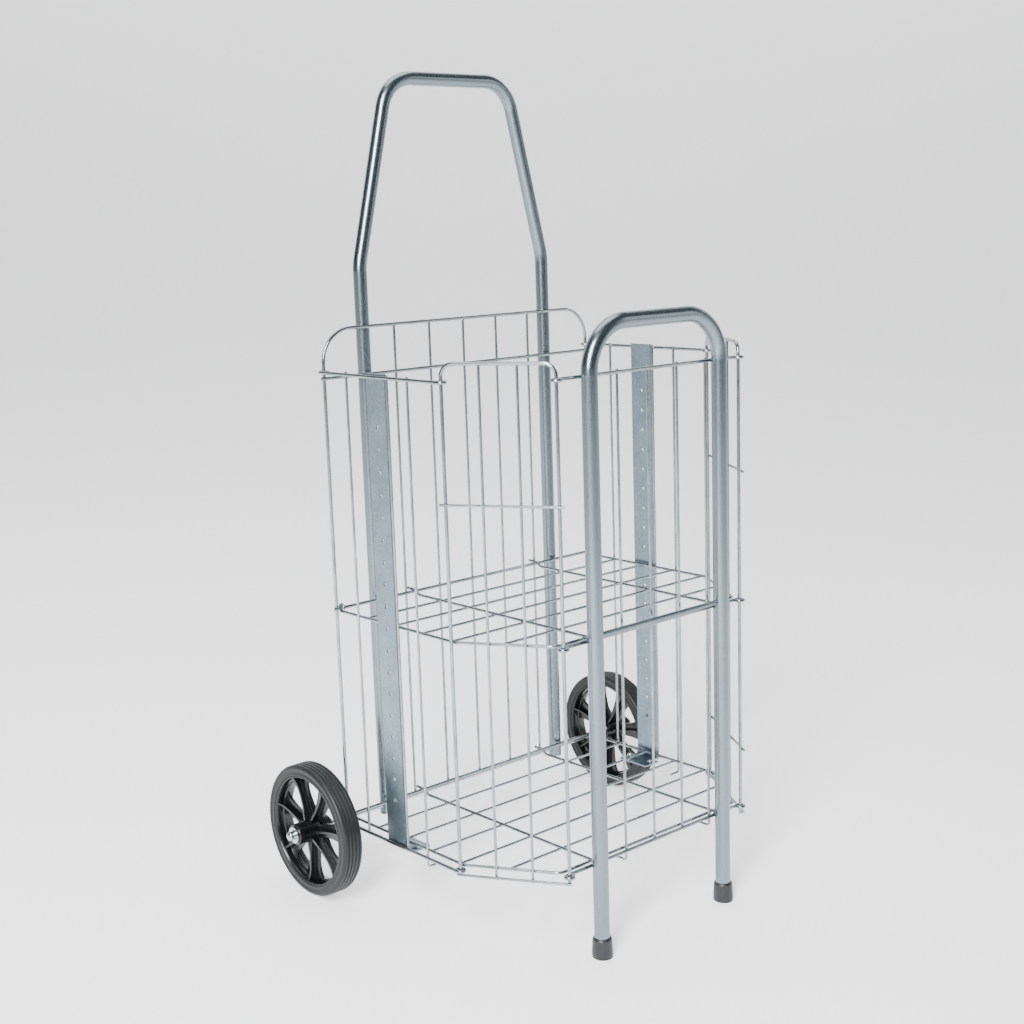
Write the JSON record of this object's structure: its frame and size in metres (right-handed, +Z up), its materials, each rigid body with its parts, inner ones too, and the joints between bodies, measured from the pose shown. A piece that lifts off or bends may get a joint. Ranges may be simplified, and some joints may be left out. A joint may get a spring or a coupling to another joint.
{
  "type": "folding shopping cart",
  "caption": "Tall two-wheeled wire shopping cart with a folding shelf and bottom grid, a bent tube handle and a front stand with rubber feet.",
  "frame": {"origin": "on the floor, below the middle of the cart's bounding box", "axes": "+Z up, +Y towards the handle and wheels, +X to the right seen from the stand side"},
  "size_m": [0.5678, 0.4211, 0.9394],
  "materials": {
    "tube_steel": "satin silver",
    "basket_wire": "bright zinc plated",
    "strap_steel": "blue zinc plated",
    "hardware": "bright zinc plated",
    "wheel_plastic": "semi-gloss black",
    "tyre_rubber": "matt charcoal",
    "foot_rubber": "matt charcoal"
  },
  "bodies": {
    "frame": {"handle_tube": "tube_steel", "front_stand_tube": "tube_steel", "stand_rod": "tube_steel", "left_foot": "foot_rubber", "right_foot": "foot_rubber", "rear_panel": "basket_wire", "left_side_panel": "basket_wire", "right_side_panel": "basket_wire", "left_corner_panel": "basket_wire", "right_corner_panel": "basket_wire", "front_panel": "basket_wire", "left_strap": "strap_steel", "right_strap": "strap_steel", "left_tab_plate": "strap_steel", "right_tab_plate": "strap_steel", "left_tab_rivets": "hardware", "right_tab_rivets": "hardware", "axle": "hardware", "left_inner_washer": "hardware", "right_inner_washer": "hardware", "left_outer_washer": "hardware", "right_outer_washer": "hardware", "left_axle_cap": "hardware", "right_axle_cap": "hardware"},
    "shelf": {"shelf_grid": "basket_wire"},
    "bottom": {"bottom_grid": "basket_wire"},
    "left_wheel_body": {"left_wheel": "wheel_plastic", "left_tyre": "tyre_rubber"},
    "right_wheel_body": {"right_wheel": "wheel_plastic", "right_tyre": "tyre_rubber"}
  },
  "joints": [
    {"name": "shelf_fold", "type": "hinge", "parent": "frame", "child": "shelf", "pos_m": [0, 0.13474, 0.33735], "axis": [-1, 0, 0], "range_deg": [0, 85]},
    {"name": "bottom_fold", "type": "hinge", "parent": "frame", "child": "bottom", "pos_m": [0, 0.11948, 0.08782], "axis": [-1, 0, 0], "range_deg": [0, 50]},
    {"name": "left_wheel_spin", "type": "hinge", "parent": "frame", "child": "left_wheel_body", "pos_m": [-0.246, 0.13255, 0.078], "axis": [1, 0, 0], "continuous": true},
    {"name": "right_wheel_spin", "type": "hinge", "parent": "frame", "child": "right_wheel_body", "pos_m": [0.246, 0.13255, 0.078], "axis": [1, 0, 0], "continuous": true}
  ]
}
